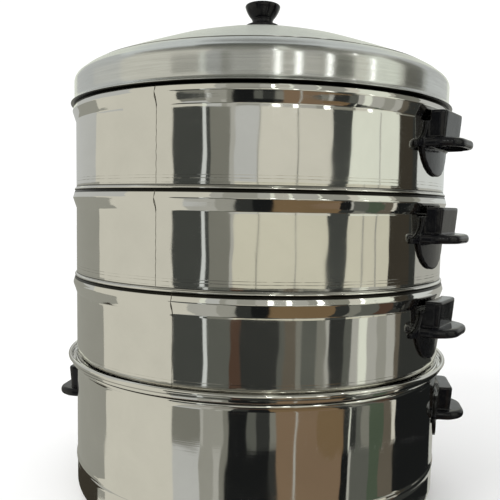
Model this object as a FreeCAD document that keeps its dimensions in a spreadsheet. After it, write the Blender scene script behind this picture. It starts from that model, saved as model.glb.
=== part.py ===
"""Three-tier stacked steamer: stock pot, three steaming tiers and a domed lid.

Units are millimetres. +Z is up, and the origin is the centre of the pot's flat bottom. The pot's
handles lie on the X axis. Every tier and the lid stand on the piece below by a bead, and drop into
it by a spigot, so each lifts straight up.
"""
import FreeCAD, Part
import math
import os

import Sketcher

V = FreeCAD.Vector
doc = FreeCAD.newDocument("Steamer")

# ---------------------------------------------------------------- driving dimensions

SIZES = {
    # sheet metal and stack
    "round_bow": 0.2071,           # bow of a quarter round's arc from its chord, per radius
    "wall_radius": 200.0,          # outside of a tier's wall
    "sheet": 1.0,                  # thickness of the spun sheet
    "tier_pitch": 89.0,            # from one bead's underside to the next
    "seat_level": 146.0,           # ledge in the pot's rim that the lowest tier stands on
    "spigot_radius": 198.7,        # outside of the spigots
    "spigot_depth": 9.0,
    "lip_radius": 188.0,           # inner edge of the lip that carries a tray
    # tier collar and bead; drops are measured down from the tier's top edge
    "collar_radius": 203.6,
    "collar_drop": 8.0,
    "collar_top_radius": 201.4,
    "collar_shoulder_radius": 201.7,
    "collar_shoulder_drop": 14.5,
    "collar_foot_drop": 20.0,
    "collar_bulge": 0.55,
    "collar_hollow": 0.25,
    "bead_radius": 201.9,
    "bead_height": 3.2,
    "bead_round": 0.8,
    "bead_shoulder": 1.6,          # height of the slope from the bead up to the wall
    # perforated trays
    "tray_radius": 197.3,
    "tray_thick": 1.0,
    "tray_hole_radius": 5.0,
    "tray_ring_step": 22.0,
    "tray_ring_count": 8.0,
    # pot
    "pot_radius": 200.0,
    "pot_floor": 1.6,
    "pot_corner": 15.0,
    "pot_bead_level": 41.0,
    "pot_bead_height": 7.0,
    "pot_bead_out": 1.0,
    "seat_thick": 1.7,
    "seat_slope": 0.9,             # size of the bevel between the wall and the seat
    "rim_band_radius": 206.2,
    "rim_round": 1.4,
    "rim_roll_level": 151.0,
    "rim_roll_radius": 2.2,
    "rim_roll_drop": 1.2,          # from the roll's centre down to its cut edge
    # lid; levels are above the plane that its bead stands on
    "lid_radius": 201.6,           # outside of the skirt
    "lid_rim_radius": 205.4,       # rolled edge at the skirt's flared foot
    "lid_rim_round": 0.9,
    "lid_flare_top": 7.5,
    "lid_flare_bow": 0.9,
    "lid_skirt_top": 23.3,
    "lid_shoulder_radius": 196.0,
    "lid_shoulder_top": 31.6,
    "lid_groove_radius": 181.0,
    "lid_groove_level": 41.55,
    "lid_groove_width": 2.0,
    "lid_groove_depth": 0.45,
    "lid_middle_radius": 115.0,
    "lid_middle_level": 66.5,
    "lid_seat_radius": 20.0,       # flat in the middle that the knob's foot stands on
    "lid_apex": 92.4,
    "lid_hole_radius": 3.4,
    "lid_fillet_bow": 0.8,         # how far the lid's arcs stand off their chords
    "lid_shoulder_bow": 0.65,
    "lid_slope_bow": 0.3,
    "lid_crown_bow": 0.9,
    # knob; levels are above the flat that its foot stands on
    "knob_foot_radius": 18.4,
    "knob_foot_height": 4.6,
    "knob_foot_round": 0.8,
    "knob_neck_radius": 11.4,
    "knob_neck_level": 7.4,
    "knob_lip_radius": 11.9,
    "knob_lip_level": 10.2,
    "knob_lip_round": 0.6,
    "knob_radius": 19.3,
    "knob_wide_level": 24.2,
    "knob_rim_radius": 16.4,
    "knob_rim_level": 26.6,
    "knob_height": 28.6,
    "knob_flank_bow": 0.8,
    "knob_top_bow": 0.5,
    "knob_flat_radius": 1.5,       # small flat in the middle of the knob's top
    "knob_screw_radius": 3.0,
    "knob_bore_radius": 3.15,
    "knob_bore_top": 20.0,
    "knob_screw_end": 18.0,
    "knob_head_radius": 5.6,
    "knob_head_height": 3.4,
    "knob_head_round": 1.6,
    "washer_radius": 9.0,
    "washer_thick": 1.4,
    "washer_gap": 0.1,
    # side handles: their own base plane is the tip of the tongue
    "handle_gap": 0.1,
    "plate_thick": 3.0,
    "plate_half": 47.0,
    "plate_foot": 26.0,
    "plate_top": 50.5,
    "plate_waist": 28.5,           # half width of the plate beside the block
    "plate_ear": 5.0,              # height of the ears at the plate's foot
    "plate_flare": 20.0,           # from the plate's foot up to its waist
    "plate_flare_in": 3.7,         # bow of the flare's arc towards the block
    "plate_flare_down": 3.0,
    "plate_stock": 60.0,           # depth that the plate is cut from, before it is curved
    "block_top": 60.0,
    "block_clear": 4.6,            # from the wall to the block's back above the plate
    "block_half": 25.0,
    "block_reach": 15.0,
    "block_corner": 4.0,
    "block_draft": 5.0,
    "block_round": 2.0,
    "tongue_half": 35.0,
    "ledge_level": 26.0,
    "ledge_thick": 9.0,
    "ledge_half": 34.0,
    "ledge_reach": 32.0,           # from the wall to the ledge's tip
    "ledge_corner": 24.0,
    "ledge_top_round": 4.0,
    "ledge_foot_round": 3.2,
    "ledge_rim": 4.0,
    "ledge_recess": 5.5,
    "cavity_half": 19.0,
    "cavity_reach": 11.4,
    "cavity_floor": 37.5,
    "cavity_roof": 50.0,
    # brackets and screws in the handles
    "bracket_thick": 2.0,
    "bracket_reach": 10.6,
    "bracket_foot": 38.5,
    "bracket_top": 48.5,
    "bracket_angle": 9.0,
    "screw_radius": 2.0,
    "screw_bore_gap": 0.25,
    "screw_head_radius": 3.4,
    "screw_head_height": 2.4,
    "screw_head_round": 0.9,
    "screw_inset": 7.0,            # from the wall to the screw's axis
    "screw_length": 18.0,
    "screw_point": 1.0,            # length of the bevel at a screw's end
    # heights of the handles and turns of the stacked pieces
    "pot_handle_level": 61.0,      # tip of the tongue above the pot's bottom
    "tier_handle_level": 18.2,     # tip of the tongue above the tier's bead
    "tier_3_turn": -23.5,
    "tier_2_turn": -25.0,
    "tier_1_turn": -25.0,
}

sheet = doc.addObject("Spreadsheet::Sheet", "Sizes")
scratch = doc.addObject("Spreadsheet::Sheet", "Scratch")
for row, (alias, value) in enumerate(SIZES.items(), start=1):
    sheet.set("A%d" % row, alias)
    sheet.set("B%d" % row, str(value))
    sheet.setAlias("B%d" % row, alias)
doc.recompute()


def size(alias):
    """Value of one cell."""
    return float(sheet.get(alias))


def cells(text):
    """Turn a formula in plain aliases into one that reads the sheet."""
    words = sorted(SIZES, key=len, reverse=True)
    out = ""
    index = 0
    while index < len(text):
        for word in words:
            if text.startswith(word, index):
                out += "Sizes." + word
                index += len(word)
                break
        else:
            out += text[index]
            index += 1
    return out


def number(formula):
    """Value of a formula in plain aliases, worked out by a cell of the scratch sheet."""
    scratch.set("A1", "=" + cells(formula))
    scratch.recompute()
    return float(scratch.get("A1"))


# ---------------------------------------------------------------- sketch helpers

def origin_plane(body, role):
    """One of a body's own origin planes or axes."""
    return next(item for item in body.Origin.OriginFeatures if item.Role == role)


def new_body(name):
    """Empty body whose label is its node name."""
    body = doc.addObject("PartDesign::Body", name)
    body.Label = name
    return body


def new_sketch(body, name, role, offset=None):
    """Sketch on one of the body's origin planes, moved along its normal by a formula."""
    sketch = body.newObject("Sketcher::SketchObject", name)
    sketch.AttachmentSupport = [(origin_plane(body, role), "")]
    sketch.MapMode = "FlatFace"
    if offset is not None:
        sketch.setExpression("AttachmentOffset.Base.z", cells(offset))
    return sketch


def pin_point(sketch, edge, end, across, up):
    """Fix one end of an edge at two formulas, measured from the sketch's origin."""
    for kind, formula in (("DistanceX", across), ("DistanceY", up)):
        value = number(formula)
        if abs(value) < 1e-9:
            axis = -2 if kind == "DistanceX" else -1
            sketch.addConstraint(Sketcher.Constraint("PointOnObject", edge, end, axis))
            continue
        index = sketch.addConstraint(Sketcher.Constraint(kind, -1, 1, edge, end, value))
        sketch.setExpression("Constraints[%d]" % index, cells(formula))


def draw_outline(sketch, steps):
    """Closed outline. A step is (across, up) for the start of a straight edge, or (across, up,
    out, rise) for the start of an arc whose middle stands off its chord's middle by (out, rise)."""
    count = len(steps)
    ends = [V(number(step[0]), number(step[1]), 0) for step in steps]
    for index, step in enumerate(steps):
        start = ends[index]
        finish = ends[(index + 1) % count]
        if len(step) == 2:
            sketch.addGeometry(Part.LineSegment(start, finish), False)
        else:
            middle = (start + finish) / 2 + V(number(step[2]), number(step[3]), 0)
            sketch.addGeometry(Part.Arc(start, middle, finish), False)
    for index, step in enumerate(steps):
        following = (index + 1) % count
        last = arc_end(sketch, index, ends[following])
        first = arc_end(sketch, following, ends[following])
        sketch.addConstraint(Sketcher.Constraint("Coincident", index, last, following, first))
    for index, step in enumerate(steps):
        pin_point(sketch, index, arc_end(sketch, index, ends[index]), step[0], step[1])
        if len(step) == 4:
            radius = sketch.Geometry[index].Radius
            sketch.addConstraint(Sketcher.Constraint("Radius", index, radius))


def arc_end(sketch, index, point):
    """1 or 2, the end of an edge that lies at a point (an arc may run the other way)."""
    start = sketch.getPoint(index, 1)
    finish = sketch.getPoint(index, 2)
    return 1 if (start - point).Length <= (finish - point).Length else 2


def draw_circle(sketch, across, up, radius):
    """Circle with its centre and radius on formulas."""
    centre = V(number(across), number(up), 0)
    index = sketch.addGeometry(Part.Circle(centre, V(0, 0, 1), number(radius)), False)
    pin_point(sketch, index, 3, across, up)
    fixed = sketch.addConstraint(Sketcher.Constraint("Radius", index, number(radius)))
    sketch.setExpression("Constraints[%d]" % fixed, cells(radius))


def revolve(body, name, steps, angle=360.0, both_ways=False, kind="PartDesign::Revolution"):
    """Solid, or groove, of an (r, z) outline turned about the body's Z axis."""
    sketch = new_sketch(body, name + "_outline", "XZ_Plane")
    draw_outline(sketch, steps)
    feature = body.newObject(kind, name)
    feature.Profile = sketch
    feature.ReferenceAxis = (sketch, ["V_Axis"])
    feature.Angle = angle
    feature.Midplane = both_ways
    doc.recompute()
    return feature


def pad(body, name, sketch, length, kind="PartDesign::Pad", flip=False, draft=None):
    """Pad or pocket of a sketch by a length formula."""
    feature = body.newObject(kind, name)
    feature.Profile = sketch
    feature.setExpression("Length", cells(length))
    feature.Reversed = flip
    if draft is not None:
        feature.setExpression("TaperAngle", cells(draft))
    doc.recompute()
    return feature


def place(body, angle=0.0, level="0"):
    """Turn a body about the stack's axis and lift it to a level."""
    turn = FreeCAD.Rotation(V(0, 0, 1), angle)
    body.Placement = FreeCAD.Placement(V(0, 0, number(level)), turn)
    if level != "0":
        body.setExpression("Placement.Base.z", cells(level))


# ---------------------------------------------------------------- pot

def make_pot_shell():
    """Pot spun from one sheet: bottom, rounded corner, pressed bead, wall, seat for the lowest
    tier's bead, rim band and rolled edge."""
    body = new_body("pot_shell")
    bow = "pot_corner * round_bow"
    inner_corner = "(pot_corner - sheet)"
    inner_bow = inner_corner + " * round_bow"
    bead_top = "pot_bead_level + pot_bead_height / 2"
    bead_foot = "pot_bead_level - pot_bead_height / 2"
    seat_foot = "seat_level - seat_thick"
    band_inside = "rim_band_radius - sheet"
    roll_foot = "rim_roll_level - rim_roll_drop"
    roll_half = "sqrt(rim_roll_radius ^ 2 - rim_roll_drop ^ 2)"
    roll_ring = "%s + %s" % (band_inside, roll_half)
    roll_bow = "rim_roll_radius * round_bow"
    revolve(body, "shell", [
        ("0", "0"),
        ("pot_radius - pot_corner", "0", bow, "0 - " + bow),
        ("pot_radius", "pot_corner"),
        ("pot_radius", bead_foot, "pot_bead_out", "0"),
        ("pot_radius", bead_top),
        ("pot_radius", seat_foot + " - seat_slope"),
        ("pot_radius + seat_slope", seat_foot),
        ("rim_band_radius - rim_round", seat_foot, "rim_round * round_bow",
         "0 - rim_round * round_bow"),
        ("rim_band_radius", seat_foot + " + rim_round"),
        ("rim_band_radius", roll_foot),
        ("%s + %s" % (roll_ring, roll_half), roll_foot, roll_bow + " + 0.3", roll_bow),
        (roll_ring, "rim_roll_level + rim_roll_radius", "0 - %s - 0.3" % roll_bow, roll_bow),
        (band_inside, roll_foot),
        (band_inside, "seat_level + seat_slope"),
        (band_inside + " - seat_slope", "seat_level"),
        ("pot_radius - sheet", "seat_level"),
        ("pot_radius - sheet", "pot_floor + " + inner_corner, inner_bow, "0 - " + inner_bow),
        ("pot_radius - sheet - " + inner_corner, "pot_floor"),
        ("0", "pot_floor"),
    ])


# ---------------------------------------------------------------- tiers

def make_tier_wall(name, level, turn):
    """Spun wall of one tier, drawn from the spigot's foot up and back down inside. The outline's
    own zero is the spigot's foot."""
    body = new_body(name)
    foot = "spigot_depth"
    top = "spigot_depth + tier_pitch"
    bead_top = foot + " + bead_height"
    bow = "bead_round * round_bow"
    collar_foot = top + " - collar_foot_drop"
    collar_shoulder = top + " - collar_shoulder_drop"
    collar_level = top + " - collar_drop"
    revolve(body, "wall", [
        ("lip_radius", "0"),
        ("spigot_radius", "0"),
        ("spigot_radius", foot),
        ("bead_radius - bead_round", foot, bow, "0 - " + bow),
        ("bead_radius", foot + " + bead_round"),
        ("bead_radius", bead_top + " - bead_round", bow, bow),
        ("bead_radius - bead_round", bead_top),
        ("wall_radius", bead_top + " + bead_shoulder"),
        ("wall_radius", collar_foot, "0 - collar_hollow", "0"),
        ("collar_shoulder_radius", collar_shoulder, "collar_bulge", "0"),
        ("collar_radius", collar_level, "collar_bulge", "0"),
        ("collar_top_radius", top),
        ("collar_top_radius - sheet", top, "collar_bulge", "0"),
        ("collar_radius - sheet", collar_level, "collar_bulge", "0"),
        ("collar_shoulder_radius - sheet", collar_shoulder, "0 - collar_hollow", "0"),
        ("wall_radius - sheet", collar_foot),
        ("wall_radius - sheet", bead_top + " + bead_shoulder - sheet / 2"),
        ("spigot_radius - sheet", bead_top + " + sheet / 2"),
        ("spigot_radius - sheet", "sheet"),
        ("lip_radius", "sheet"),
    ])
    place(body, turn, level + " - spigot_depth")


def make_tray(name, level, turn):
    """Perforated floor of one tier: a disc with rings of holes, lying on the tier's lip."""
    thick = size("tray_thick")
    disc = Part.makeCylinder(size("tray_radius"), thick)
    drills = [Part.makeCylinder(size("tray_hole_radius"), thick * 3, V(0, 0, -thick))]
    for ring in range(1, int(size("tray_ring_count")) + 1):
        radius = ring * size("tray_ring_step")
        count = ring * 6
        for index in range(count):
            angle = 2 * math.pi * (index + 0.5 * (ring % 2)) / count
            spot = V(radius * math.cos(angle), radius * math.sin(angle), -thick)
            drills.append(Part.makeCylinder(size("tray_hole_radius"), thick * 3, spot))
    tray = doc.addObject("Part::Feature", name)
    tray.Label = name
    tray.Shape = disc.cut(Part.makeCompound(drills))
    place(tray, turn, level + " - spigot_depth + sheet")


# ---------------------------------------------------------------- side handles

def bar_outline(sketch, back, reach, half, corner):
    """Plan of a bar that leaves the wall and ends in two quarter-round corners."""
    bow = corner + " * round_bow"
    draw_outline(sketch, [
        (back, "0 - " + half),
        ("%s - %s" % (reach, corner), "0 - " + half, bow, "0 - " + bow),
        (reach, "%s - %s" % (corner, half)),
        (reach, "%s - %s" % (half, corner), bow, bow),
        ("%s - %s" % (reach, corner), half),
        (back, half),
    ])


def select_edges(shape, test):
    """Names of the edges of a shape whose centre passes a test."""
    names = []
    for index, edge in enumerate(shape.Edges, start=1):
        if test(edge, edge.BoundBox):
            names.append("Edge%d" % index)
    return names


def round_edges(body, name, base, radius, test):
    """Fillet on the chosen edges of the last feature."""
    names = select_edges(base.Shape, test)
    fillet = body.newObject("PartDesign::Fillet", name)
    fillet.Base = (base, names)
    fillet.Radius = radius
    doc.recompute()
    return fillet


def make_handle(name, wall, turn, level):
    """Moulded handle: a plate curved to the wall, a block, a D-shaped ledge that is hollow below,
    and a tongue that hangs from the plate. Its outline faces +X before it is turned."""
    body = new_body(name)
    outline = new_sketch(body, "plate_outline", "YZ_Plane", wall + " - plate_stock / 3")
    draw_outline(outline, [
        ("0 - plate_half", "plate_foot"),
        ("0 - tongue_half", "plate_foot", "0", "0 - plate_foot"),
        ("tongue_half", "plate_foot"),
        ("plate_half", "plate_foot"),
        ("plate_half", "plate_foot + plate_ear", "0 - plate_flare_in", "0 - plate_flare_down"),
        ("plate_waist", "plate_foot + plate_flare"),
        ("plate_waist", "plate_top"),
        ("0 - plate_waist", "plate_top"),
        ("0 - plate_waist", "plate_foot + plate_flare", "plate_flare_in", "0 - plate_flare_down"),
        ("0 - plate_half", "plate_foot + plate_ear"),
    ])
    pad(body, "plate", outline, "plate_stock")

    # turn the plate's front to the wall's curve
    front = wall + " + plate_thick"
    beyond = wall + " + plate_stock"
    revolve(body, "plate_front", [
        (front, "0 - sheet"),
        (beyond, "0 - sheet"),
        (beyond, "block_top"),
        (front, "block_top"),
    ], kind="PartDesign::Groove")

    block = new_sketch(body, "block_plan", "XY_Plane", "ledge_level + sheet")
    bar_outline(block, wall + " - cavity_reach", wall + " + block_reach", "block_half", "block_corner")
    pad(body, "block", block, "block_top - ledge_level - sheet", draft="block_draft")

    ledge = new_sketch(body, "ledge_plan", "XY_Plane", "ledge_level")
    bar_outline(ledge, wall + " - cavity_reach", wall + " + ledge_reach", "ledge_half", "ledge_corner")
    solid = pad(body, "ledge", ledge, "ledge_thick")

    # rounds: the edges are those of one level that lie further out than the block or the plate
    def edges_at(level, outside):
        def test(edge, box):
            flat = abs(box.ZMin - level) < 0.01 and abs(box.ZMax - level) < 0.01
            return flat and box.XMax > outside
        return test

    ledge_foot = size("ledge_level")
    past_block = number(wall + " + block_reach + block_round")
    past_plate = number(wall + " + plate_thick + block_round")
    solid = round_edges(body, "ledge_top_round", solid, size("ledge_top_round"),
                        edges_at(ledge_foot + size("ledge_thick"), past_block))
    solid = round_edges(body, "ledge_foot_round", solid, size("ledge_foot_round"),
                        edges_at(ledge_foot, past_block))
    round_edges(body, "block_top_round", solid, size("block_round"),
                edges_at(size("block_top"), past_plate))

    # hollow of the ledge, and cavity behind the block for the bracket
    recess = new_sketch(body, "recess_plan", "XY_Plane", "ledge_level")
    bar_outline(recess, wall + " + plate_thick + sheet / 2", wall + " + ledge_reach - ledge_rim",
                "(ledge_half - ledge_rim)", "(ledge_corner - ledge_rim)")
    pad(body, "recess", recess, "ledge_recess", kind="PartDesign::Pocket", flip=True)

    cavity = new_sketch(body, "cavity_plan", "XY_Plane", "cavity_floor")
    draw_outline(cavity, [
        (wall + " - cavity_reach", "0 - cavity_half"),
        (wall + " + cavity_reach", "0 - cavity_half"),
        (wall + " + cavity_reach", "cavity_half"),
        (wall + " - cavity_reach", "cavity_half"),
    ])
    pad(body, "cavity", cavity, "cavity_roof - cavity_floor", kind="PartDesign::Pocket", flip=True)

    bore = new_sketch(body, "bore_plan", "XY_Plane", "ledge_level")
    draw_circle(bore, wall + " + screw_inset", "0", "screw_radius + screw_bore_gap")
    pad(body, "bore", bore, "cavity_floor - ledge_level + sheet", kind="PartDesign::Pocket", flip=True)

    # trim the back to the wall's curve
    back = wall + " + handle_gap"
    clear = wall + " + block_clear"
    inside = wall + " - plate_stock"
    revolve(body, "plate_back", [
        (inside, "0 - sheet"),
        (back, "0 - sheet"),
        (back, "plate_top"),
        (clear, "plate_top"),
        (clear, "block_top + sheet"),
        (inside, "block_top + sheet"),
    ], kind="PartDesign::Groove")
    place(body, turn, level)


def make_bracket(name, wall, turn, level):
    """Angle bracket, curved to the wall it is welded to, with a tab that the screw holds."""
    body = new_body(name)
    revolve(body, "angle", [
        (wall, "bracket_foot"),
        (wall + " + bracket_thick", "bracket_foot"),
        (wall + " + bracket_thick", "bracket_top - bracket_thick"),
        (wall + " + bracket_reach", "bracket_top - bracket_thick"),
        (wall + " + bracket_reach", "bracket_top"),
        (wall, "bracket_top"),
    ], angle=size("bracket_angle"), both_ways=True)
    hole = new_sketch(body, "hole_plan", "XY_Plane", "bracket_top")
    draw_circle(hole, wall + " + screw_inset", "0", "screw_radius + screw_bore_gap / 5")
    pad(body, "hole", hole, "bracket_thick", kind="PartDesign::Pocket")
    place(body, turn, level)


def make_handle_screw(name, wall, turn, level):
    """Pan-head screw that stands under the ledge's roof and bites into the bracket's tab."""
    body = new_body(name)
    head = "ledge_level + ledge_recess"
    head_foot = head + " - screw_head_height"
    bow = "screw_head_round * round_bow"
    revolve(body, "screw", [
        ("0", head_foot),
        ("screw_head_radius - screw_head_round", head_foot, bow, "0 - " + bow),
        ("screw_head_radius", head_foot + " + screw_head_round"),
        ("screw_head_radius", head),
        ("screw_radius", head),
        ("screw_radius", head + " + screw_length - screw_point"),
        ("screw_radius - screw_point / 2", head + " + screw_length"),
        ("0", head + " + screw_length"),
    ])
    angle = math.radians(turn)
    inset = number(wall + " + screw_inset")
    turned = FreeCAD.Rotation(V(0, 0, 1), turn)
    spot = V(inset * math.cos(angle), inset * math.sin(angle), number(level))
    body.Placement = FreeCAD.Placement(spot, turned)


def make_handle_pair(prefix, wall, turn, level):
    """Two handles opposite each other, each with its bracket and screw."""
    for side, extra in (("right", 0.0), ("left", 180.0)):
        make_handle("%s_handle_%s" % (prefix, side), wall, turn + extra, level)
        make_bracket("%s_bracket_%s" % (prefix, side), wall, turn + extra, level)
        make_handle_screw("%s_screw_%s" % (prefix, side), wall, turn + extra, level)


# ---------------------------------------------------------------- lid

def make_lid_shell():
    """Domed lid: spigot, rolled bead, vertical skirt, shoulder, groove and dome with a flat in its
    middle. The outline's own zero is the spigot's foot."""
    body = new_body("lid_shell")
    foot = "spigot_depth"
    groove_out = "lid_groove_radius + lid_groove_width / 2"
    groove_in = "lid_groove_radius - lid_groove_width / 2"
    groove_level = foot + " + lid_groove_level"
    shoulder_top = foot + " + lid_shoulder_top"
    middle_level = foot + " + lid_middle_level"
    apex = foot + " + lid_apex"
    skirt_top = foot + " + lid_skirt_top"
    rim_bow = "lid_rim_round * round_bow"
    fillet_bow = ("lid_fillet_bow * 1.25", "lid_fillet_bow")
    shoulder_bow = ("lid_shoulder_bow * 0.6", "lid_shoulder_bow")
    slope_bow = ("lid_slope_bow * 0.4", "lid_slope_bow")
    crown_bow = ("lid_crown_bow * 0.3", "lid_crown_bow")
    revolve(body, "dome", [
        ("spigot_radius - sheet", "0"),
        ("spigot_radius", "0"),
        ("spigot_radius", foot),
        ("lid_rim_radius - lid_rim_round", foot, rim_bow, "0 - " + rim_bow),
        ("lid_rim_radius", foot + " + lid_rim_round", rim_bow, rim_bow),
        ("lid_rim_radius - lid_rim_round", foot + " + lid_rim_round * 2", "0 - lid_flare_bow",
         "0 - lid_flare_bow / 2"),
        ("lid_radius", foot + " + lid_flare_top"),
        ("lid_radius", skirt_top) + fillet_bow,
        ("lid_shoulder_radius", shoulder_top) + shoulder_bow,
        (groove_out, groove_level + " - lid_groove_depth", "0 - lid_groove_depth / 2",
         "0 - lid_groove_depth"),
        (groove_in, groove_level + " + lid_groove_depth") + slope_bow,
        ("lid_middle_radius", middle_level) + crown_bow,
        ("lid_seat_radius", apex),
        ("0", apex),
        ("0", apex + " - sheet"),
        ("lid_seat_radius", apex + " - sheet") + crown_bow,
        ("lid_middle_radius", middle_level + " - sheet") + slope_bow,
        ("lid_groove_radius", groove_level + " - sheet * 1.4") + shoulder_bow,
        ("lid_shoulder_radius - sheet / 2", shoulder_top + " - sheet") + fillet_bow,
        ("lid_radius - sheet", skirt_top),
        ("lid_radius - sheet", foot + " + lid_flare_top"),
        ("spigot_radius - sheet", foot + " + lid_flare_top - sheet * 3"),
    ])
    hole = new_sketch(body, "hole_plan", "XY_Plane", apex)
    draw_circle(hole, "0", "0", "lid_hole_radius")
    pad(body, "hole", hole, "sheet", kind="PartDesign::Pocket")
    place(body, 0.0, LID_LEVEL + " - spigot_depth")


def make_knob():
    """Black knob on a flared foot, held by a screw from inside and a washer under the dome."""
    level = LID_LEVEL + " + lid_apex"
    foot = new_body("lid_knob_foot")
    bow = "knob_foot_round * round_bow"
    revolve(foot, "foot", [
        ("lid_hole_radius", "0"),
        ("knob_foot_radius", "0"),
        ("knob_foot_radius", "knob_foot_height - knob_foot_round", bow, bow),
        ("knob_foot_radius - knob_foot_round", "knob_foot_height", "0 - knob_foot_round / 2",
         "0 - knob_foot_round / 2"),
        ("knob_neck_radius", "knob_neck_level"),
        ("knob_neck_radius", "knob_lip_level"),
        ("lid_hole_radius", "knob_lip_level"),
    ])
    place(foot, 0.0, level)

    knob = new_body("lid_knob")
    revolve(knob, "knob", [
        ("knob_bore_radius", "knob_lip_level"),
        ("knob_lip_radius - knob_lip_round", "knob_lip_level", "knob_lip_round / 3",
         "0 - knob_lip_round * 0.4"),
        ("knob_lip_radius", "knob_lip_level + knob_lip_round * 2", "knob_flank_bow",
         "0 - knob_flank_bow * 0.6"),
        ("knob_radius", "knob_wide_level", "knob_flank_bow", "knob_flank_bow * 0.7"),
        ("knob_rim_radius", "knob_rim_level", "0", "knob_top_bow"),
        ("knob_flat_radius", "knob_height"),
        ("0", "knob_height"),
        ("0", "knob_bore_top"),
        ("knob_bore_radius", "knob_bore_top"),
    ])
    place(knob, 0.0, level)

    washer = new_body("lid_knob_washer")
    revolve(washer, "washer", [
        ("lid_hole_radius", "0"),
        ("washer_radius", "0"),
        ("washer_radius", "washer_thick"),
        ("lid_hole_radius", "washer_thick"),
    ])
    washer_foot = level + " - sheet - washer_gap - washer_thick"
    place(washer, 0.0, washer_foot)

    screw = new_body("lid_knob_screw")
    end = "knob_screw_end + sheet + washer_gap + washer_thick"
    round_bow = "knob_head_round * round_bow"
    revolve(screw, "screw", [
        ("0", "0 - knob_head_height"),
        ("knob_head_radius - knob_head_round", "0 - knob_head_height", round_bow,
         "0 - " + round_bow),
        ("knob_head_radius", "knob_head_round - knob_head_height"),
        ("knob_head_radius", "0"),
        ("knob_screw_radius", "0"),
        ("knob_screw_radius", end + " - screw_point"),
        ("knob_screw_radius - screw_point / 2", end),
        ("0", end),
    ])
    place(screw, 0.0, washer_foot)


# ---------------------------------------------------------------- assembly

TIER_LEVELS = {
    "tier_3": "seat_level",
    "tier_2": "seat_level + tier_pitch",
    "tier_1": "seat_level + tier_pitch * 2",
}
LID_LEVEL = "seat_level + tier_pitch * 3"

make_pot_shell()
make_handle_pair("pot", "pot_radius", 0.0, "pot_handle_level")
for tier, tier_level in TIER_LEVELS.items():
    tier_turn = size(tier + "_turn")
    make_tier_wall(tier + "_wall", tier_level, tier_turn)
    make_tray(tier + "_tray", tier_level, tier_turn)
    make_handle_pair(tier, "wall_radius", tier_turn, tier_level + " + tier_handle_level")
make_lid_shell()
make_knob()
doc.recompute()

# ---------------------------------------------------------------- checks and export

pieces = [item for item in doc.Objects if item.TypeId == "PartDesign::Body"]
pieces += [item for item in doc.Objects if item.TypeId == "Part::Feature"]
for item in doc.Objects:
    if "Invalid" in item.State or "Error" in item.State:
        raise RuntimeError("%s is in state %s" % (item.Label, item.State))
for piece in pieces:
    if piece.Shape.isNull() or not piece.Shape.isValid():
        raise RuntimeError(piece.Label + " has no valid shape")
    if len(piece.Shape.Solids) != 1:
        raise RuntimeError("%s has %d solids" % (piece.Label, len(piece.Shape.Solids)))

os.makedirs("parts", exist_ok=True)
for piece in pieces:
    piece.Shape.exportStep("parts/%s.step" % piece.Label)
    box = piece.Shape.BoundBox
    print("%-24s volume %10.1f  z %7.1f to %7.1f" % (piece.Label, piece.Shape.Volume, box.ZMin,
                                                    box.ZMax))
print(len(pieces), "pieces")
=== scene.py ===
"""Looks of the stacked steamer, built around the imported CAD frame.

Sizes of the stack are in millimetres, and MM turns them into metres. The node trees and the studio
are in metres. A piece's turn is in degrees about +Z. The studio's azimuths are in degrees too, from
the camera's side of the stack towards its right.
"""

import math

import bmesh
import bpy
from mathutils import Matrix, Vector


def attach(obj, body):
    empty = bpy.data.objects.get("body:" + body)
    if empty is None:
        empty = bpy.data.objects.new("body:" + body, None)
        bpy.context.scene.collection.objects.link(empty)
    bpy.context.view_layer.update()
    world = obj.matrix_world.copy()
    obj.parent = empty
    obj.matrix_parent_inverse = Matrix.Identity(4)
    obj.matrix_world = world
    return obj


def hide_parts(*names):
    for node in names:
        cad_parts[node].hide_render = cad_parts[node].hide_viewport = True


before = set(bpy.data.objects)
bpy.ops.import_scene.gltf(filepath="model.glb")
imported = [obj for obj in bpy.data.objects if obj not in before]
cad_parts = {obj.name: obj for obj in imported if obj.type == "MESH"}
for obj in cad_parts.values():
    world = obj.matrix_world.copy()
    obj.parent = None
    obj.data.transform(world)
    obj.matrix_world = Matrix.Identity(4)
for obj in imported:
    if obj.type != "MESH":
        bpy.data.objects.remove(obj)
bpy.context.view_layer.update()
scene = bpy.context.scene
MM = 0.001

# ---------------------------------------------------------------- sizes shared with the CAD model

SHEET = 1.0
WALL = 200.0
PITCH = 89.0
SEAT = 146.0
SPIGOT = 198.7
SPIGOT_DEPTH = 9.0
LIP = 188.0
DOME_TOP = 92.4
KNOB_FOOT_TOP = 10.2
BLOCK_REACH = 15.0
TIER_TURN = {"tier_3": -23.5, "tier_2": -25.0, "tier_1": -25.0}
TIER_LEVEL = {"tier_3": SEAT, "tier_2": SEAT + PITCH, "tier_1": SEAT + 2 * PITCH}
LID_LEVEL = SEAT + 3 * PITCH
HANDLE_LEVEL = {"pot": 61.0, "tier": 18.2}
SIDES = {"right": 0.0, "left": 180.0}
ROUND_BOW = 0.2071              # how far a quarter circle of radius 1 stands off its chord, each way


# ---------------------------------------------------------------- mesh helpers

LONGEST_STEP = 3.0              # on the straight stretches of an outline
ARC_LONGEST_STEP = 4.0
ARC_WIDEST_STEP = math.radians(7)
ARC_FEWEST_STEPS = 5
SHARP_ANGLE = 32.0
ROUND_SEGMENTS = 320
KNOB_SEGMENTS = 128


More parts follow.
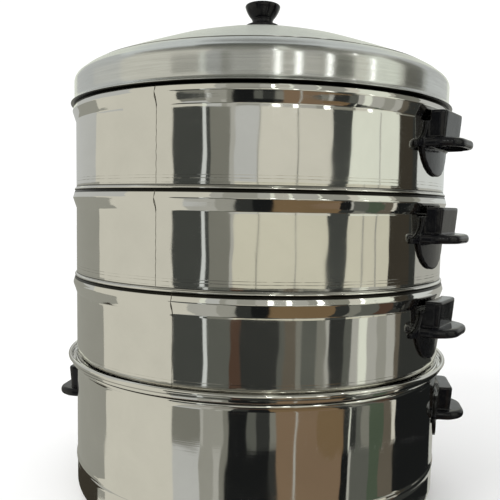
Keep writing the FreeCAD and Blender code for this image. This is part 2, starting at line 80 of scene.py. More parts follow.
def arc_points(start, middle, finish):
    """Points along the arc through three points, the last one left out."""
    (ax, ay), (bx, by), (cx, cy) = start, middle, finish
    d = 2 * (ax * (by - cy) + bx * (cy - ay) + cx * (ay - by))
    if abs(d) < 1e-9:
        return [start]
    ux = ((ax * ax + ay * ay) * (by - cy) + (bx * bx + by * by) * (cy - ay)
          + (cx * cx + cy * cy) * (ay - by)) / d
    uy = ((ax * ax + ay * ay) * (cx - bx) + (bx * bx + by * by) * (ax - cx)
          + (cx * cx + cy * cy) * (bx - ax)) / d
    radius = math.hypot(ax - ux, ay - uy)
    first = math.atan2(ay - uy, ax - ux)
    half = math.atan2(by - uy, bx - ux)
    last = math.atan2(cy - uy, cx - ux)
    turn = (last - first) % (2 * math.pi)
    if (half - first) % (2 * math.pi) > turn:
        turn -= 2 * math.pi
    by_angle = int(abs(turn) / ARC_WIDEST_STEP)
    by_length = int(radius * abs(turn) / ARC_LONGEST_STEP)
    count = max(ARC_FEWEST_STEPS, by_angle, by_length)
    return [(ux + radius * math.cos(first + turn * k / count),
             uy + radius * math.sin(first + turn * k / count)) for k in range(count)]


def sample(steps):
    """Points of a closed (radius, height) outline. A step with four numbers starts an arc whose
    middle stands off its chord's middle by the last two."""
    points = []
    for index, step in enumerate(steps):
        finish = steps[(index + 1) % len(steps)][:2]
        if len(step) == 4:
            middle = ((step[0] + finish[0]) / 2 + step[2], (step[1] + finish[1]) / 2 + step[3])
            points += arc_points(step[:2], middle, finish)
            continue
        length = math.hypot(finish[0] - step[0], finish[1] - step[1])
        count = max(1, int(length / LONGEST_STEP))
        for k in range(count):
            share = k / count
            points.append((step[0] + (finish[0] - step[0]) * share,
                           step[1] + (finish[1] - step[1]) * share))
    return points


def lathe_mesh(name, steps, segments=ROUND_SEGMENTS):
    """Mesh of an outline turned about Z, smooth apart from its real corners."""
    mesh = bpy.data.meshes.new(name)
    work = bmesh.new()
    rings = []
    for radius, level in sample(steps):
        if radius < 1e-6:
            rings.append([work.verts.new((0, 0, level * MM))])
            continue
        ring = []
        for k in range(segments):
            angle = 2 * math.pi * k / segments
            spot = (radius * MM * math.cos(angle), radius * MM * math.sin(angle), level * MM)
            ring.append(work.verts.new(spot))
        rings.append(ring)
    for index, ring in enumerate(rings):
        other = rings[(index + 1) % len(rings)]
        if len(ring) == 1 and len(other) == 1:
            continue
        for k in range(segments):
            following = (k + 1) % segments
            corners = [ring[k % len(ring)], ring[following % len(ring)],
                       other[following % len(other)], other[k % len(other)]]
            work.faces.new(list(dict.fromkeys(corners)))
    bmesh.ops.recalc_face_normals(work, faces=work.faces)
    work.to_mesh(mesh)
    work.free()
    finish_mesh(mesh, SHARP_ANGLE)
    return mesh


def finish_mesh(mesh, sharp):
    """Smooth shading with sharp edges above an angle."""
    mesh.shade_smooth()
    mesh.set_sharp_from_angle(angle=math.radians(sharp))


def add_piece(name, mesh, material, body, nodes=(), level=0.0, turn=0.0):
    """Object for a mesh, painted, riding on its body and standing for its CAD nodes. Its turn is
    worked into a copy of the mesh, so that the object's box is the one that it fills."""
    if turn:
        mesh = mesh.copy()
        mesh.transform(Matrix.Rotation(math.radians(turn), 4, "Z"))
    piece = bpy.data.objects.new(name, mesh)
    scene.collection.objects.link(piece)
    piece.location = (0, 0, level * MM)
    if not mesh.materials:
        mesh.materials.append(material)
    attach(piece, body)
    if nodes:
        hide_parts(*nodes)


# ---------------------------------------------------------------- profiles

def pot_steps():
    """The pot's shell, from the middle of its bottom round the rim's roll and back inside."""
    corner, base = 15.0, 1.6
    inner = corner - SHEET
    bead, bead_half, bead_bow = 41.0, 3.5, 1.0
    bend = 0.9
    seat_foot = SEAT - 1.7
    swell_foot, swell_top, swell_bow = seat_foot - 6.2, seat_foot - 3.0, 0.5
    band, band_round, band_bow = 206.2, 1.4, 0.12
    roll, roll_centre, roll_rise = 2.2, 151.0, 1.2
    roll_foot = roll_centre - roll_rise
    roll_half = math.sqrt(roll ** 2 - roll_rise ** 2)
    ring = band - SHEET + roll_half
    rise = roll * ROUND_BOW
    out = rise + 0.2
    return [
        (0, 0),
        (WALL - corner, 0, corner * ROUND_BOW, -corner * ROUND_BOW),
        (WALL, corner),
        (WALL, bead - bead_half, bead_bow, 0),
        (WALL, bead + bead_half),
        (WALL, swell_foot, swell_bow, 0),
        (WALL, swell_top),
        (WALL, seat_foot - bend),
        (WALL + bend, seat_foot),
        (band - band_round, seat_foot, band_round * ROUND_BOW, -band_round * ROUND_BOW),
        (band, seat_foot + band_round, band_bow, 0),
        (band, roll_foot),
        (ring + roll_half, roll_foot, out, rise),
        (ring, roll_centre + roll, -out, rise),
        (band - SHEET, roll_foot),
        (band - SHEET, SEAT + bend),
        (band - SHEET - bend, SEAT),
        (WALL - SHEET, SEAT),
        (WALL - SHEET, base + inner, inner * ROUND_BOW, -inner * ROUND_BOW),
        (WALL - SHEET - inner, base),
        (0, base),
    ]


def tier_steps():
    """A tier's wall. Zero is the plane that its bead stands on."""
    spigot_foot = -SPIGOT_DEPTH
    bead, bead_top, shoulder_top = 200.8, 3.3, 4.6
    hip, hip_foot, hip_top = WALL + 0.3, PITCH - 18.6, PITCH - 17.0
    collar, collar_foot, collar_top = 203.3, PITCH - 8.0, PITCH - 6.0
    rim = 201.4
    return [
        (LIP, spigot_foot),
        (SPIGOT, spigot_foot),
        (SPIGOT, 0),
        (bead, 0, 1.3, 0.1),
        (bead - 0.45, bead_top, -0.12, -0.12),
        (WALL, shoulder_top),
        (WALL, hip_foot, -0.12, 0.1),
        (hip, hip_top),
        (collar, collar_foot, 0.22, 0),
        (collar, collar_top, 0.1, 0.1),
        (rim, PITCH),
        (rim - SHEET, PITCH, 0.1, 0.1),
        (collar - SHEET, collar_top, 0.22, 0),
        (collar - SHEET, collar_foot),
        (hip - SHEET, hip_top),
        (WALL - SHEET, hip_foot),
        (WALL - SHEET, bead_top + SHEET),
        (SPIGOT - SHEET, shoulder_top - 0.9),
        (SPIGOT - SHEET, spigot_foot + SHEET),
        (LIP, spigot_foot + SHEET),
    ]


def lid_steps():
    """The lid's shell. Zero is the plane that its rim stands on."""
    rim, bead = 205.4, 0.9
    bead_bow = bead * ROUND_BOW
    skirt, skirt_foot, skirt_top = 201.6, 5.0, 23.3
    turn_bow = (1.0, 0.8)
    shoulder = (196.0, 31.6)
    groove_edge, groove_floor = (185.0, 39.0), (182.4, 40.6)
    brow, brow_bow = 115.0, (0.12, 0.3)
    brow_top, crown_bow = 66.5, (0.27, 0.9)
    flat, hole = 20.0, 3.4
    inner_shoulder, inner_groove = (195.5, 30.6), (181.0, 39.8)
    return [
        (SPIGOT - SHEET, -SPIGOT_DEPTH),
        (SPIGOT, -SPIGOT_DEPTH),
        (SPIGOT, 0),
        (rim - bead, 0, bead_bow, -bead_bow),
        (rim, bead, bead_bow, bead_bow),
        (rim - bead, bead * 2, -0.5, -0.3),
        (skirt, skirt_foot),
        (skirt, skirt_top) + turn_bow,
        shoulder + (0.30, 0.5),
        groove_edge + (-0.5, -0.9),
        groove_floor + brow_bow,
        (brow, brow_top) + crown_bow,
        (flat, DOME_TOP),
        (hole, DOME_TOP),
        (hole, DOME_TOP - SHEET),
        (flat, DOME_TOP - SHEET) + crown_bow,
        (brow, brow_top - SHEET) + brow_bow,
        inner_groove + (0.39, 0.65),
        inner_shoulder + turn_bow,
        (skirt - SHEET, skirt_top),
        (skirt - SHEET, skirt_foot + 2.5),
        (SPIGOT - SHEET, skirt_foot - 0.5),
    ]


def foot_steps():
    """Flared foot of the knob. Zero is the flat at the top of the dome."""
    hole, neck = 3.4, 11.4
    brim, brim_top, edge = 18.4, 3.8, 0.8
    bow = edge * ROUND_BOW
    return [
        (hole, 0),
        (brim, 0),
        (brim, brim_top, bow, bow),
        (brim - edge, brim_top + edge, -0.4, -0.4),
        (neck, 7.4),
        (neck, KNOB_FOOT_TOP),
        (hole, KNOB_FOOT_TOP),
    ]


def knob_steps():
    """The knob. Zero is the flat at the top of the dome."""
    bore, bore_top, top = 3.15, 20.0, 28.6
    return [
        (bore, KNOB_FOOT_TOP),
        (11.3, KNOB_FOOT_TOP, 0.2, -0.24),
        (11.9, 11.4, 0.8, -0.48),
        (19.3, 24.2, 0.8, 0.56),
        (16.4, 26.6, 0, 0.5),
        (1.5, top),
        (0, top),
        (0, bore_top),
        (bore, bore_top),
    ]


# ---------------------------------------------------------------- node helpers

MIX_FIRST, MIX_SECOND, MIX_RESULT = 6, 7, 2     # the colour sockets of a Mix node
# Painted shade: the near-black laid into joints and creases where shade falls.
JOINT_SHADE_COLOUR = (0.018, 0.017, 0.014)
SHADE_EDGE = 0.0004           # how softly the painted shade fades out of a joint


class Nodes:
    """Short way to build a material's node tree."""

    def __init__(self, name):
        self.material = bpy.data.materials.new(name)
        self.material.use_nodes = True
        self.tree = self.material.node_tree
        self.shader = self.tree.nodes["Principled BSDF"]

    def add(self, kind, **values):
        """New shader node with some of its properties set."""
        node = self.tree.nodes.new("ShaderNode" + kind)
        for key, value in values.items():
            setattr(node, key, value)
        return node

    def link(self, source, target):
        self.tree.links.new(source, target)

    def place(self):
        """Position in the piece's own metres."""
        return self.add("TexCoord").outputs["Object"]

    def finish(self, base, rough, normal, metallic=0.0):
        """Join the three maps to the shader, and give the material."""
        self.link(base, self.shader.inputs["Base Color"])
        self.link(rough, self.shader.inputs["Roughness"])
        self.link(normal, self.shader.inputs["Normal"])
        self.shader.inputs["Metallic"].default_value = metallic
        return self.material

    def maths(self, operation, *values):
        """Result of a Math node, from numbers and sockets."""
        node = self.add("Math", operation=operation)
        for socket, value in zip(node.inputs, values):
            if isinstance(value, (int, float)):
                socket.default_value = value
            else:
                self.link(value, socket)
        return node.outputs[0]

    def noise(self, vector, scale, detail=3.0, roughness=0.5, distortion=0.0):
        node = self.add("TexNoise")
        node.inputs["Scale"].default_value = scale
        node.inputs["Detail"].default_value = detail
        node.inputs["Roughness"].default_value = roughness
        node.inputs["Distortion"].default_value = distortion
        self.link(vector, node.inputs["Vector"])
        return node.outputs["Fac"]

    def spread(self, value, source, target):
        """Stretch a value from one range (low, high) to another, and hold it there."""
        node = self.add("MapRange")
        node.inputs["From Min"].default_value = source[0]
        node.inputs["From Max"].default_value = source[1]
        node.inputs["To Min"].default_value = target[0]
        node.inputs["To Max"].default_value = target[1]
        self.link(value, node.inputs["Value"])
        return node.outputs["Result"]

    def blend(self, share, first, second):
        """Mix of two colours, each a tuple or a socket."""
        node = self.add("Mix", data_type="RGBA")
        self.link(share, node.inputs["Factor"])
        for index, value in ((MIX_FIRST, first), (MIX_SECOND, second)):
            if isinstance(value, tuple):
                node.inputs[index].default_value = value + (1,)
            else:
                self.link(value, node.inputs[index])
        return node.outputs[MIX_RESULT]

    def tinted(self, tint, tone):
        """A colour made lighter and darker by a grey tone."""
        node = self.add("Mix", data_type="RGBA", blend_type="MULTIPLY")
        node.inputs["Factor"].default_value = 1.0
        node.inputs[MIX_FIRST].default_value = tint + (1,)
        self.link(tone, node.inputs[MIX_SECOND])
        return node.outputs[MIX_RESULT]

    def tarnish_and_shade(self, shade_bands, z, lines, base):
        """Paint shade into the base between the heights of each joint or crease, where shade falls; also
        gives the painted share. A band is (lowest, highest, strength), its heights in millimetres."""
        share = 0.0
        for low, high, strength in shade_bands:
            middle, half = (low + high) / 2 * MM, (high - low) / 2 * MM
            away = self.maths("ABSOLUTE", self.maths("SUBTRACT", z, middle))
            edge = self.maths("MULTIPLY_ADD", lines, SHADE_EDGE, away)
            inside = self.spread(edge, (half, half + SHADE_EDGE), (strength, 0.0))
            share = self.maths("MAXIMUM", inside, share)
        return self.blend(share, base, JOINT_SHADE_COLOUR), share

    def bump(self, height, distance):
        node = self.add("Bump")
        node.inputs["Distance"].default_value = distance
        self.link(height, node.inputs["Height"])
        return node.outputs["Normal"]

    def round_coordinates(self, around, along):
        """Vector that varies slowly round the stack's axis and quickly along a profile, without a
        seam; also gives the plain place and its height."""
        place = self.place()
        parts = self.add("SeparateXYZ")
        self.link(place, parts.inputs[0])
        x, y, z = parts.outputs
        squares = self.maths("ADD", self.maths("MULTIPLY", x, x), self.maths("MULTIPLY", y, y))
        radius = self.maths("SQRT", squares)
        safe = self.maths("MAXIMUM", radius, 0.001)
        vector = self.add("CombineXYZ")
        self.link(self.maths("MULTIPLY", self.maths("DIVIDE", x, safe), around), vector.inputs[0])
        self.link(self.maths("MULTIPLY", self.maths("DIVIDE", y, safe), around), vector.inputs[1])
        self.link(self.maths("MULTIPLY", self.maths("ADD", radius, z), along), vector.inputs[2])
        return vector.outputs[0], place, z


# ---------------------------------------------------------------- materials

def mirror_steel(name, tint, scores, shade_bands):
    """Polished sheet: slow waves, fine lines round the wall, scratches, smudges, score marks and
    painted shade in the joints. A score is (height in millimetres, depth from 0 to 1)."""
    n = Nodes(name)
    rings, place, z = n.round_coordinates(around=2.0, along=900.0)
    slow, _, _ = n.round_coordinates(around=3.2, along=9.0)
    lines = n.noise(rings, scale=1.0, detail=4.0, roughness=0.6)
    waves = n.noise(slow, scale=1.0, detail=2.0, roughness=0.4)
    smudge = n.noise(place, scale=14.0, detail=5.0, roughness=0.6, distortion=0.4)
    dust = n.noise(place, scale=900.0, detail=2.0)
    base = n.tinted(tint, n.spread(smudge, (0.3, 0.7), (0.93, 1.02)))
    dull = n.spread(smudge, (0.35, 0.75), (0.02, 0.085))
    rough = n.maths("ADD", dull, n.spread(lines, (0.5, 0.9), (0.0, 0.05)))
    rough = n.maths("ADD", rough, n.spread(dust, (0.66, 0.78), (0.0, 0.14)))
    height = n.maths("ADD", waves, n.maths("MULTIPLY", lines, 0.006))
    wander = 0.0009
    for level, depth in scores:
        line = n.maths("MULTIPLY_ADD", waves, wander, level * MM - wander / 2)
        near = n.maths("ABSOLUTE", n.maths("SUBTRACT", z, line))
        mark = n.spread(near, (0.00005, 0.00028), (1.0, 0.0))
        broken = n.spread(n.noise(slow, scale=7.0), (0.35, 0.6), (0.15 * depth, depth))
        mark = n.maths("MULTIPLY", mark, broken)
        base = n.blend(mark, base, (0.30, 0.28, 0.25))
        height = n.maths("ADD", height, n.maths("MULTIPLY", mark, -0.02))
    # Painted shade: the joints and the crease above the bead are darkened where shade falls, and made a
    # little rougher.
    base, shaded_share = n.tarnish_and_shade(shade_bands, z, lines, base)
    rough = n.maths("ADD", rough, n.maths("MULTIPLY", shaded_share, 0.25))
    return n.finish(base, rough, n.bump(height, distance=0.0016), metallic=1.0)


def satin_steel(name, tint, roughness, shade_bands=()):
    """Sheet brushed in circles: fine lines round the axis and light stretched across them."""
    n = Nodes(name)
    rings, place, z = n.round_coordinates(around=2.5, along=2600.0)
    coarse, _, _ = n.round_coordinates(around=5.0, along=420.0)
    lines = n.noise(rings, scale=1.0, detail=3.0, roughness=0.7)
    bands = n.noise(coarse, scale=1.0, detail=3.0, roughness=0.6)
    smudge = n.noise(place, scale=11.0, detail=4.0, roughness=0.6, distortion=0.6)
    middle = (0.3, 0.7)
    tone = n.maths("MULTIPLY", n.spread(lines, middle, (0.9, 1.06)), n.spread(bands, middle, (0.95, 1.03)))
    tone = n.maths("MULTIPLY", tone, n.spread(smudge, middle, (0.95, 1.02)))
    base = n.tinted(tint, tone)
    if shade_bands:
        # Painted shade in the lid's rim joint and groove, where shade falls.
        base, _ = n.tarnish_and_shade(shade_bands, z, lines, base)
    brushed = n.spread(lines, middle, (roughness - 0.03, roughness + 0.04))
    rough = n.maths("ADD", brushed, n.spread(smudge, middle, (-0.01, 0.02)))
    height = n.maths("ADD", lines, n.maths("MULTIPLY", bands, 2.0))
    tangent = n.add("Tangent", direction_type="RADIAL", axis="Z")
    n.link(tangent.outputs[0], n.shader.inputs["Tangent"])
    n.shader.inputs["Anisotropic"].default_value = 1.0
    n.shader.inputs["Anisotropic Rotation"].default_value = 0.25
    return n.finish(base, rough, n.bump(height, distance=0.000012), metallic=1.0)


def bakelite(name):
    """Glossy moulded black: slow moulding ripples, fine dust and rubbed patches."""
    n = Nodes(name)
    place = n.place()
    ripple = n.noise(place, scale=55.0, detail=2.0, roughness=0.4)
    rub = n.noise(place, scale=90.0, detail=5.0, roughness=0.65, distortion=0.5)
    dust = n.noise(place, scale=2600.0, detail=2.0)
    rubbed = n.spread(rub, (0.45, 0.8), (0.0, 1.0))
    base = n.blend(rubbed, (0.004, 0.004, 0.005), (0.010, 0.010, 0.010))
    speck = n.spread(dust, (0.62, 0.75), (0.0, 0.16))
    rough = n.maths("ADD", n.spread(rub, (0.4, 0.8), (0.08, 0.22)), speck)
    n.shader.inputs["IOR"].default_value = 1.36
    return n.finish(base, rough, n.bump(ripple, distance=0.0004))


def screw_steel(name):
    """Plated screws: a fine grain and a darker tarnish."""
    n = Nodes(name)
    place = n.place()
    grain = n.noise(place, scale=1500.0, detail=3.0, roughness=0.6)
    tarnish_and_shade = n.noise(place, scale=300.0, detail=4.0, roughness=0.6)
    share = n.spread(tarnish_and_shade, (0.4, 0.75), (0.0, 1.0))
    base = n.blend(share, (0.62, 0.62, 0.61), (0.36, 0.34, 0.31))
    rough = n.spread(grain, (0.3, 0.7), (0.22, 0.42))
    return n.finish(base, rough, n.bump(grain, distance=0.00003), metallic=1.0)


def weld_steel(name):
    """Rubbed-down weld: dull, brownish and uneven."""
    n = Nodes(name)
    grain = n.noise(n.place(), scale=420.0, detail=4.0, roughness=0.7, distortion=0.5)
    share = n.spread(grain, (0.35, 0.7), (0.0, 1.0))
    base = n.blend(share, (0.05, 0.045, 0.036), (0.20, 0.18, 0.15))
    rough = n.spread(grain, (0.3, 0.7), (0.3, 0.55))
    return n.finish(base, rough, n.bump(grain, distance=0.0001), metallic=1.0)


WARM = (0.80, 0.79, 0.755)
COOL = (0.76, 0.77, 0.76)
TIER_SCORES = ((6.2, 0.6), (9.8, 0.8), (12.4, 0.5))
# Bands of painted shade, each (lowest, highest, strength) in millimetres: the joints between tiers, lid
# and pot, the crease above a tier's bead and the lid's groove.
TIER_SHADE_BANDS = ((-SPIGOT_DEPTH, 1.3, 1.0), (3.7, 4.7, 0.85), (PITCH - 2.2, PITCH + 1.0, 1.0))
LID_SHADE_BANDS = ((-SPIGOT_DEPTH, 0.8, 1.0), (39.3, 40.3, 0.75))
POT_SHADE_BANDS = ((SEAT + 1.2, SEAT + 2.2, 0.5), (SEAT - 4.8, SEAT - 3.4, 1.0))
mirror = mirror_steel("mirror_steel", WARM, (), POT_SHADE_BANDS)
scored = mirror_steel("mirror_steel_scored", WARM, TIER_SCORES, TIER_SHADE_BANDS)
satin = satin_steel("satin_steel", COOL, 0.30)
lid_satin = satin_steel("satin_steel_lid", COOL, 0.18, LID_SHADE_BANDS)
black = bakelite("black_bakelite")
plated = screw_steel("screw_steel")
weld = weld_steel("weld_steel")


# ---------------------------------------------------------------- turned pieces

KNOB_LEVEL = LID_LEVEL + DOME_TOP

add_piece("pot_skin", lathe_mesh("pot_skin", pot_steps()), mirror, "pot", ["pot_shell"])
wall_mesh = lathe_mesh("tier_skin", tier_steps())
for tier, level in TIER_LEVEL.items():
    add_piece(tier + "_skin", wall_mesh, scored, tier, [tier + "_wall"], level)
add_piece("lid_skin", lathe_mesh("lid_skin", lid_steps()), lid_satin, "lid",
          ["lid_shell"], LID_LEVEL)
for node, steps in (("lid_knob_foot", foot_steps()), ("lid_knob", knob_steps())):
    add_piece(node + "_skin", lathe_mesh(node + "_skin", steps, KNOB_SEGMENTS), black, "lid",
              [node], KNOB_LEVEL)


# ---------------------------------------------------------------- weld seams

SEAM_FROM_HANDLE = {"tier_3": -80.1, "tier_2": -83.6, "tier_1": -83.6}
SEAM_HALF_ANGLE = 0.09
SEAM_SHARP_ANGLE = 40.0
SEAM_SECTION = ((-1, -0.2), (-0.6, 0.1), (0.6, 0.1), (1, -0.2))


def seam_mesh():
    """Thin raised strip up a tier's wall, from above the bead to the collar's top edge. A corner of
    its section is (share of the half angle, lift off the wall)."""
    outline = [(WALL, z) for z in range(5, int(PITCH - 20), 3)]
    outline += [
        (WALL + 0.1, PITCH - 19),
        (WALL + 0.62, PITCH - 17.2),
        (201.7, PITCH - 14.5),
        (203.18, PITCH - 11.2),
        (203.6, PITCH - 8.0),
        (203.08, PITCH - 3.9),
        (201.6, PITCH - 0.4),
    ]
    mesh = bpy.data.meshes.new("tier_seam")
    work = bmesh.new()
    rows = []
    for index, (radius, level) in enumerate(outline):
        wander = 0.05 * math.sin(index * 1.9) + 0.03 * math.sin(index * 4.7)
        half = SEAM_HALF_ANGLE + 0.02 * math.sin(index * 2.6)
        row = []
        for side, lift in SEAM_SECTION:
            angle = math.radians(wander + side * half)
            reach = (radius + lift) * MM
            row.append(work.verts.new((reach * math.cos(angle), reach * math.sin(angle), level * MM)))
        rows.append(row)
    for low, high in zip(rows, rows[1:]):
        for k in range(len(SEAM_SECTION)):
            following = (k + 1) % len(SEAM_SECTION)
            work.faces.new((low[k], low[following], high[following], high[k]))
    work.faces.new(rows[0])
    work.faces.new(rows[-1])
    bmesh.ops.recalc_face_normals(work, faces=work.faces)
    work.to_mesh(mesh)
    work.free()
    finish_mesh(mesh, SEAM_SHARP_ANGLE)
    return mesh


seam = seam_mesh()
for tier, level in TIER_LEVEL.items():
    add_piece(tier + "_seam", seam, weld, tier, (), level,
              TIER_TURN[tier] + SEAM_FROM_HANDLE[tier])


# ---------------------------------------------------------------- handles

HANDLE_VOXEL = 0.0008
SOFT_ROUNDS = 3
NOSE_ROUNDS = 12
NOSE = (WALL + BLOCK_REACH + 2.0) * MM


def soft_copy(node, name):
    """Mesh of a CAD node with its edges softened, as a moulding has them."""
    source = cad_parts[node]
    helper = bpy.data.objects.new(name + "_work", source.data.copy())
    scene.collection.objects.link(helper)
    remesh = helper.modifiers.new("voxels", "REMESH")
    remesh.mode = "VOXEL"
    remesh.voxel_size = HANDLE_VOXEL
    smooth = helper.modifiers.new("soft", "SMOOTH")
    smooth.factor = 0.5
    smooth.iterations = SOFT_ROUNDS
    bpy.context.view_layer.update()
    graph = bpy.context.evaluated_depsgraph_get()
    mesh = bpy.data.meshes.new_from_object(helper.evaluated_get(graph))
    mesh.name = name
    bpy.data.objects.remove(helper)
    mesh.materials.clear()
    mesh.shade_smooth()
    return mesh


def round_nose(mesh):
    """Round the ledge where it stands out past the block, as if rubbed by hands."""
    work = bmesh.new()
    work.from_mesh(mesh)
    nose = [corner for corner in work.verts if corner.co.x > NOSE]
    for _ in range(NOSE_ROUNDS):
        bmesh.ops.smooth_vert(work, verts=nose, factor=0.5,
                              use_axis_x=True, use_axis_y=True, use_axis_z=True)
    work.to_mesh(mesh)
    work.free()


handle_mesh = soft_copy("pot_handle_right", "handle_skin")
round_nose(handle_mesh)
handle_mesh.transform(Matrix.Translation((0, 0, -HANDLE_LEVEL["pot"] * MM)))
GROUPS = {"pot": (HANDLE_LEVEL["pot"], 0.0)}
for tier, level in TIER_LEVEL.items():
    GROUPS[tier] = (level + HANDLE_LEVEL["tier"], TIER_TURN[tier])
for group, (level, turn) in GROUPS.items():
    for side, extra in SIDES.items():
        node = "%s_handle_%s" % (group, side)
        add_piece(node + "_skin", handle_mesh, black, group, [node], level, turn + extra)


# ---------------------------------------------------------------- CAD nodes that stay

for name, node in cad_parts.items():
    if node.hide_render:
        continue
    material = plated if "_screw" in name else satin
    if not node.material_slots:
        node.data.materials.append(material)
    for holder in node.material_slots:
        holder.material = material


# ---------------------------------------------------------------- studio

CAMERA_TURN = 8.5               # how far the camera stands round from -Y towards +X
CARD_STEP = 4.0                 # degrees


def plain(name, colour):
    """Plain dull paint for the stage."""
    material = bpy.data.materials.new(name)
    material.use_nodes = True
    shader = material.node_tree.nodes["Principled BSDF"]
    shader.inputs["Base Color"].default_value = colour + (1,)
    shader.inputs["Roughness"].default_value = 0.8
    return material


def glow(name, colour):
    """Even light of one colour, for the cards that the polished steel reflects."""
    material = bpy.data.materials.new(name)
    material.use_nodes = True
    tree = material.node_tree
    tree.nodes.clear()
    light = tree.nodes.new("ShaderNodeEmission")
    light.inputs["Color"].default_value = colour + (1,)
    out = tree.nodes.new("ShaderNodeOutputMaterial")
    tree.links.new(light.outputs[0], out.inputs["Surface"])
    material.cycles.emission_sampling = "NONE"
    return material


GLOWS = {
    "cream": (0.66, 0.645, 0.56),
    "warm": (0.65, 0.63, 0.51),
    "bright": (0.80, 0.83, 0.72),
    "lamp": (3.2, 3.25, 3.1),
    "shade": (0.53, 0.54, 0.52),
    "pale": (0.67, 0.70, 0.68),
    "silver": (0.44, 0.44, 0.40),
    "mist": (0.33, 0.33, 0.29),
    "ash": (0.48, 0.47, 0.41),
    "fog": (0.27, 0.27, 0.225),
    "grey": (0.21, 0.21, 0.18),
    "slate": (0.11, 0.115, 0.10),
    "charcoal": (0.062, 0.066, 0.060),
    "brown": (0.085, 0.052, 0.036),
    "umber": (0.046, 0.040, 0.030),
    "earth": (0.125, 0.11, 0.085),
    "wood": (0.215, 0.15, 0.095),
    "tan": (0.19, 0.13, 0.07),
    "green": (0.075, 0.10, 0.068),
    "dark": (0.035, 0.037, 0.034),
    "black": (0.011, 0.012, 0.012),
}
CARDS = {kind: glow("card_" + kind, colour) for kind, colour in GLOWS.items()}


def card(kind, start, stop, low, high):
    """Curved strip between two azimuths, and between two (radius, height) points. Only reflections
    see it."""
    mesh = bpy.data.meshes.new("card")
    work = bmesh.new()
    count = max(2, int((stop - start) / CARD_STEP))
    rows = []
    for k in range(count + 1):
        angle = math.radians(start + (stop - start) * k / count + CAMERA_TURN)
        rows.append([work.verts.new((radius * math.sin(angle), -radius * math.cos(angle), z))
                     for radius, z in (low, high)])
    for here, there in zip(rows, rows[1:]):
        work.faces.new((here[0], there[0], there[1], here[1]))
    work.to_mesh(mesh)
    work.free()
    mesh.materials.append(CARDS[kind])
    piece = bpy.data.objects.new("card_%s_%d" % (kind, start), mesh)
    scene.collection.objects.link(piece)
    piece.visible_camera = False
    piece.visible_diffuse = False
    piece.visible_transmission = False
    piece.visible_shadow = False


def card_row(bands, low, high):
    """Row of cards from a list of (kind, azimuth where it starts); the last one closes it."""
    for (kind, start), (_, stop) in zip(bands, bands[1:] + [(None, bands[0][1] + 360)]):
        card(kind, start, stop, low, high)


# bands round the room, each (kind, azimuth where it starts), for the heights that each piece mirrors
TIER_1_BANDS = [
    ("shade", -180), ("cream", -108), ("charcoal", -48.5), ("pale", -32.8), ("charcoal", -30.4),
    ("grey", -28), ("silver", -16), ("shade", -13), ("mist", -2), ("cream", -1.2), ("grey", 19.8),
    ("cream", 20.6), ("charcoal", 37.5), ("bright", 48), ("silver", 67), ("bright", 67.8),
    ("umber", 82), ("dark", 93), ("pale", 99),
]
TIER_2_BANDS = [
    ("mist", -180), ("cream", -104), ("charcoal", -48.5), ("pale", -32.8), ("charcoal", -30.4),
    ("grey", -28), ("silver", -15), ("warm", -13), ("grey", -1.6), ("warm", -0.9), ("mist", 19.8),
    ("warm", 20.6), ("charcoal", 36.5), ("warm", 47), ("mist", 58), ("warm", 58.8), ("mist", 66),
    ("warm", 67), ("umber", 77), ("dark", 93), ("silver", 101),
]
TIER_3_BANDS = [
    ("mist", -180), ("cream", -99), ("charcoal", -48), ("pale", -31), ("slate", -28.5),
    ("brown", -14), ("dark", -9), ("slate", 11), ("earth", 14), ("grey", 22), ("slate", 25),
    ("grey", 33), ("silver", 37), ("dark", 38.5), ("slate", 47), ("silver", 53), ("bright", 58),
    ("silver", 63), ("mist", 70), ("silver", 78), ("earth", 84), ("dark", 88), ("silver", 132),
]
POT_TOP_BANDS = [
    ("mist", -180), ("cream", -98), ("grey", -47), ("silver", -32), ("mist", -30),
    ("grey", -19), ("black", -16.5), ("slate", -5), ("dark", 0), ("grey", 8), ("wood", 12),
    ("silver", 22.5), ("wood", 23.5), ("tan", 35), ("dark", 48), ("bright", 52), ("dark", 53),
    ("slate", 58), ("grey", 62), ("green", 67), ("earth", 77), ("cream", 84), ("black", 87),
    ("silver", 138),
]
POT_LOW_BANDS = [
    ("mist", -180), ("cream", -98), ("shade", -47), ("mist", -32), ("silver", -24), ("grey", -20),
    ("black", -16.5), ("dark", 8), ("wood", 12), ("silver", 22.5), ("wood", 23.5), ("black", 47),
    ("silver", 53), ("slate", 55), ("green", 67), ("earth", 75), ("black", 86),
    ("silver", 138),
]
FOOT_BANDS = [
    ("umber", -180), ("cream", -107), ("silver", -47), ("mist", -28), ("dark", -16), ("black", -5),
    ("tan", 9), ("dark", 49), ("grey", 58), ("slate", 68), ("brown", 80), ("dark", 92),
    ("silver", 135),
]
DEEP_BANDS = [("silver", -180)] + FOOT_BANDS[1:]
SKIRT_BANDS = [
    ("bright", -180), ("shade", -140), ("cream", -84), ("bright", -33),
    ("shade", -30), ("mist", -22), ("silver", -18), ("mist", -13), ("silver", -2), ("lamp", 6.2),
    ("silver", 9.0), ("lamp", 16.8), ("silver", 20), ("mist", 29), ("lamp", 33.8),
    ("mist", 36.6), ("fog", 38), ("cream", 50), ("lamp", 59.6), ("bright", 61.8), ("ash", 80),
    ("grey", 84), ("mist", 99), ("shade", 105), ("bright", 140),
]
LOFT_BANDS = [
    ("bright", -180), ("shade", -140), ("cream", -84), ("silver", -30), ("mist", -22), ("silver", -2),
    ("bright", 6.6), ("ash", 9.0), ("bright", 17.4), ("silver", 20), ("bright", 34.8), ("mist", 36.2),
    ("cream", 50), ("bright", 58), ("ash", 80), ("grey", 84), ("shade", 105), ("bright", 140),
]
SKY_BANDS = [("pale", -180), ("grey", -100), ("bright", 11), ("grey", 19), ("silver", 80), ("pale", 120)]

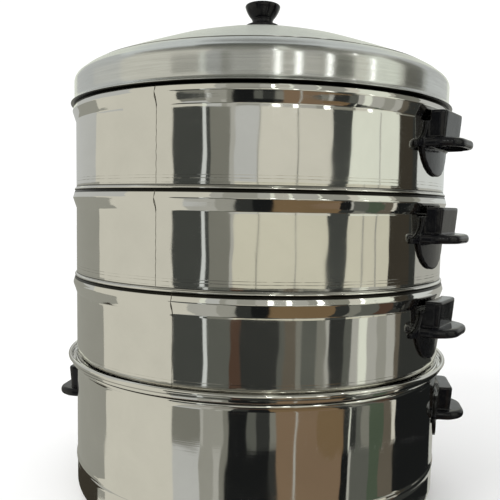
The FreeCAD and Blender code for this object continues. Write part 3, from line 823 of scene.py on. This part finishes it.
ROOM, SKYLIGHT, MIDDLE = 1.7, 0.8, 0.01         # radii
ROOM_FLOOR, ROOM_CEILING = -2.4, 2.5
ROOM_ROWS = (                                   # each (bands, height of its top edge)
    (DEEP_BANDS, -0.98),
    (FOOT_BANDS, -0.70),
    (POT_LOW_BANDS, -0.47),
    (POT_TOP_BANDS, -0.30),
    (TIER_3_BANDS, 0.03),
    (TIER_2_BANDS, 0.36),
    (TIER_1_BANDS, 0.66),
    (SKIRT_BANDS, 1.0),
    (LOFT_BANDS, 1.9),
    (SKY_BANDS, ROOM_CEILING),
)
low = ROOM_FLOOR
for bands, high in ROOM_ROWS:
    card_row(bands, (ROOM, low), (ROOM, high))
    low = high
card_row([("slate", -180)], (MIDDLE, ROOM_CEILING), (SKYLIGHT, ROOM_CEILING))
card_row(SKY_BANDS, (SKYLIGHT, ROOM_CEILING), (ROOM, ROOM_CEILING))
card_row([("brown", -180)], (MIDDLE, ROOM_FLOOR), (ROOM, ROOM_FLOOR))
SKIRTING = ROOM - 0.01
card("umber", -180, -107, (SKIRTING, -0.71), (SKIRTING, -0.625))

FLOOR_RADIUS = 9.0
FLOOR_DROP = 0.0003             # keeps the floor clear of the pot's bottom
floor_mesh = bpy.data.meshes.new("floor")
work = bmesh.new()
bmesh.ops.create_circle(work, cap_ends=True, segments=96, radius=FLOOR_RADIUS)
work.to_mesh(floor_mesh)
work.free()
floor_mesh.materials.append(plain("floor_paint", (0.93, 0.93, 0.93)))
floor = bpy.data.objects.new("floor", floor_mesh)
scene.collection.objects.link(floor)
floor.location.z = -FLOOR_DROP
floor.visible_glossy = False

world = bpy.data.worlds.new("studio")
scene.world = world
world.use_nodes = True
background = world.node_tree.nodes["Background"]
background.inputs["Color"].default_value = (1, 1, 1, 1)
background.inputs["Strength"].default_value = 1.1

STACK_MIDDLE = Vector((0, 0, 0.3))


def lamp(name, azimuth, distance, height, width, power, colour=(1, 1, 1)):
    """Round area light that points at the middle of the stack."""
    data = bpy.data.lights.new(name, "AREA")
    data.shape = "DISK"
    data.size = width
    data.energy = power
    data.color = colour
    holder = bpy.data.objects.new(name, data)
    scene.collection.objects.link(holder)
    angle = math.radians(azimuth + CAMERA_TURN)
    holder.location = (distance * math.sin(angle), -distance * math.cos(angle), height)
    aim = STACK_MIDDLE - holder.location
    holder.rotation_euler = aim.to_track_quat("-Z", "Y").to_euler()
    return holder


key = lamp("key", azimuth=-50, distance=1.5, height=1.5, width=1.2, power=14)
key.visible_glossy = False
for azimuth in (7, 56):
    lamp("ceiling_%d" % azimuth, azimuth, distance=1.2, height=1.3, width=0.03, power=0.08,
         colour=(1, 0.99, 0.96))

scene.view_settings.view_transform = "Standard"

# ---------------------------------------------------------------- camera

CAMERA_PLACE = (-0.0089, -0.742, 0.310)
CAMERA_TILT = math.radians(5.16)
CAMERA_ROLL = math.radians(1.07)

camera_data = bpy.data.cameras.new("camera")
camera_data.sensor_width = 36.0
camera_data.lens = 46.872
camera_data.shift_y = 0.032
camera_data.clip_start = 0.01
camera = bpy.data.objects.new("camera", camera_data)
scene.collection.objects.link(camera)
scene.camera = camera
right = Vector((1, 0, 0))
forward = Vector((0, math.cos(CAMERA_TILT), -math.sin(CAMERA_TILT)))
up = right.cross(forward)
x_axis = right * math.cos(CAMERA_ROLL) + up * math.sin(CAMERA_ROLL)
y_axis = up * math.cos(CAMERA_ROLL) - right * math.sin(CAMERA_ROLL)
facing = Matrix((x_axis, y_axis, -forward)).transposed().to_4x4()
around = Matrix.Rotation(math.radians(CAMERA_TURN), 4, "Z")
camera.matrix_world = around @ Matrix.Translation(CAMERA_PLACE) @ facing
